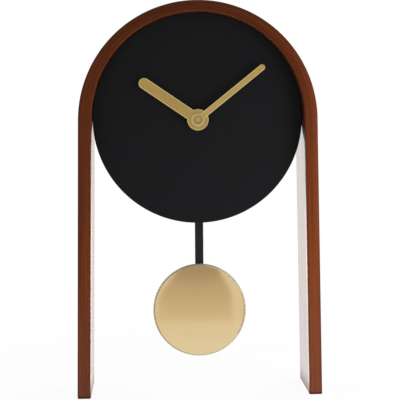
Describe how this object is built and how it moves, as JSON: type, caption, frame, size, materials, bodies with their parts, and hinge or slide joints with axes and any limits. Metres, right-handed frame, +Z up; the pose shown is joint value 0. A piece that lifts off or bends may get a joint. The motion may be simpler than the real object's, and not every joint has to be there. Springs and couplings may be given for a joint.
{
  "type": "desk pendulum clock",
  "caption": "Desk clock with a bent wooden arch as its frame, a plain round dial with hour and minute hands, a battery movement behind it and a swinging pendulum with a domed bob.",
  "frame": {"origin": "on the table, under the middle of the clock's box", "axes": "+Z up, the dial faces -Y, +X to the right as seen from the front"},
  "size_m": [0.1906, 0.05, 0.305],
  "materials": {
    "walnut_lacquer": "brown satin lacquer",
    "dial_black": "matt black paint",
    "hand_gold": "gold anodised, satin",
    "bob_brass": "satin brass",
    "rod_black": "matt black",
    "brass": "turned",
    "steel": "plated",
    "motor_iron": "stamped",
    "magnet": "sintered",
    "case_plastic": "moulded",
    "wheel_plastic": "moulded",
    "bobbin_plastic": "moulded",
    "copper_wire": "enamelled",
    "board_green": "solder mask",
    "chip_black": "moulded",
    "rubber": "moulded",
    "cell_sleeve": "plain plastic sleeve"
  },
  "bodies": {
    "clock_frame": {"arch_frame": "walnut_lacquer", "back_cover": "case_plastic", "battery": "cell_sleeve", "board_screws": "steel", "case_screws": "steel", "circuit_board": "board_green", "coil_bobbin": "bobbin_plastic", "coil_core": "motor_iron", "coil_winding": "copper_wire", "dial": "dial_black", "dial_pins": "steel", "front_case": "case_plastic", "gasket": "rubber", "mounting_bushing": "brass", "mounting_nut": "brass", "mounting_washer": "brass", "negative_contact": "steel", "pendulum_board": "board_green", "pendulum_coil_bobbin": "bobbin_plastic", "pendulum_coil_winding": "copper_wire", "pendulum_pivot_pin": "steel", "positive_contact": "steel", "quartz_crystal": "steel", "stator": "motor_iron", "stator_screws": "steel", "timing_chip": "chip_black", "train_plate": "wheel_plastic", "train_plate_screws": "steel"},
    "minute_train": {"minute_arbor": "wheel_plastic", "clutch_washer": "steel", "minute_hand": "hand_gold", "hand_cap": "hand_gold"},
    "hour_train": {"hour_wheel": "wheel_plastic", "hour_hand": "hand_gold"},
    "minute_wheel": {"minute_wheel": "wheel_plastic"},
    "setting_knob": {"setting_knob": "case_plastic"},
    "second_wheel": {"second_wheel": "wheel_plastic"},
    "third_wheel": {"third_wheel": "wheel_plastic"},
    "centre_wheel": {"centre_wheel": "wheel_plastic"},
    "intermediate_wheel": {"intermediate_wheel": "wheel_plastic"},
    "rotor": {"rotor_pinion": "wheel_plastic", "rotor_magnet": "magnet"},
    "pendulum": {"pendulum_hanger": "wheel_plastic", "pendulum_magnet": "magnet", "pendulum_rod": "rod_black", "bob_shell": "bob_brass", "bob_back": "steel", "bob_clip": "steel", "clip_rivets": "steel"}
  },
  "joints": [
    {"name": "minute_hand_turn", "type": "hinge", "parent": "clock_frame", "child": "minute_train", "pos_m": [0, 0, 0.21475], "axis": [0, 1, 0], "continuous": true},
    {"name": "hour_hand_turn", "type": "hinge", "parent": "clock_frame", "child": "hour_train", "pos_m": [0, 0, 0.21475], "axis": [0, 1, 0], "continuous": true},
    {"name": "minute_wheel_turn", "type": "hinge", "parent": "clock_frame", "child": "minute_wheel", "pos_m": [0.00779, 0, 0.21925], "axis": [0, 1, 0], "continuous": true},
    {"name": "setting_knob_turn", "type": "hinge", "parent": "clock_frame", "child": "setting_knob", "pos_m": [0.01229, 0, 0.22704], "axis": [0, 1, 0], "continuous": true},
    {"name": "second_wheel_turn", "type": "hinge", "parent": "clock_frame", "child": "second_wheel", "pos_m": [0, 0, 0.21475], "axis": [0, 1, 0], "continuous": true},
    {"name": "third_wheel_turn", "type": "hinge", "parent": "clock_frame", "child": "third_wheel", "pos_m": [-0.00869, 0, 0.21708], "axis": [0, 1, 0], "continuous": true},
    {"name": "centre_wheel_turn", "type": "hinge", "parent": "clock_frame", "child": "centre_wheel", "pos_m": [0, 0, 0.21475], "axis": [0, 1, 0], "continuous": true},
    {"name": "intermediate_wheel_turn", "type": "hinge", "parent": "clock_frame", "child": "intermediate_wheel", "pos_m": [-0.00159, 0, 0.22377], "axis": [0, 1, 0], "continuous": true},
    {"name": "rotor_turn", "type": "hinge", "parent": "clock_frame", "child": "rotor", "pos_m": [-0.00622, 0, 0.22929], "axis": [0, 1, 0], "continuous": true},
    {"name": "pendulum_swing", "type": "hinge", "parent": "clock_frame", "child": "pendulum", "pos_m": [0.0011, 0, 0.18055], "axis": [0, 1, 0], "range_deg": [-12, 12]}
  ],
  "couplings": [
    {"joint": "hour_hand_turn", "follows": "minute_hand_turn", "ratio": 0.083333},
    {"joint": "minute_wheel_turn", "follows": "minute_hand_turn", "ratio": -0.33333},
    {"joint": "setting_knob_turn", "follows": "minute_hand_turn", "ratio": 1},
    {"joint": "third_wheel_turn", "follows": "second_wheel_turn", "ratio": -0.13333},
    {"joint": "centre_wheel_turn", "follows": "second_wheel_turn", "ratio": 0.016667},
    {"joint": "intermediate_wheel_turn", "follows": "second_wheel_turn", "ratio": -6},
    {"joint": "rotor_turn", "follows": "second_wheel_turn", "ratio": 30}
  ]
}
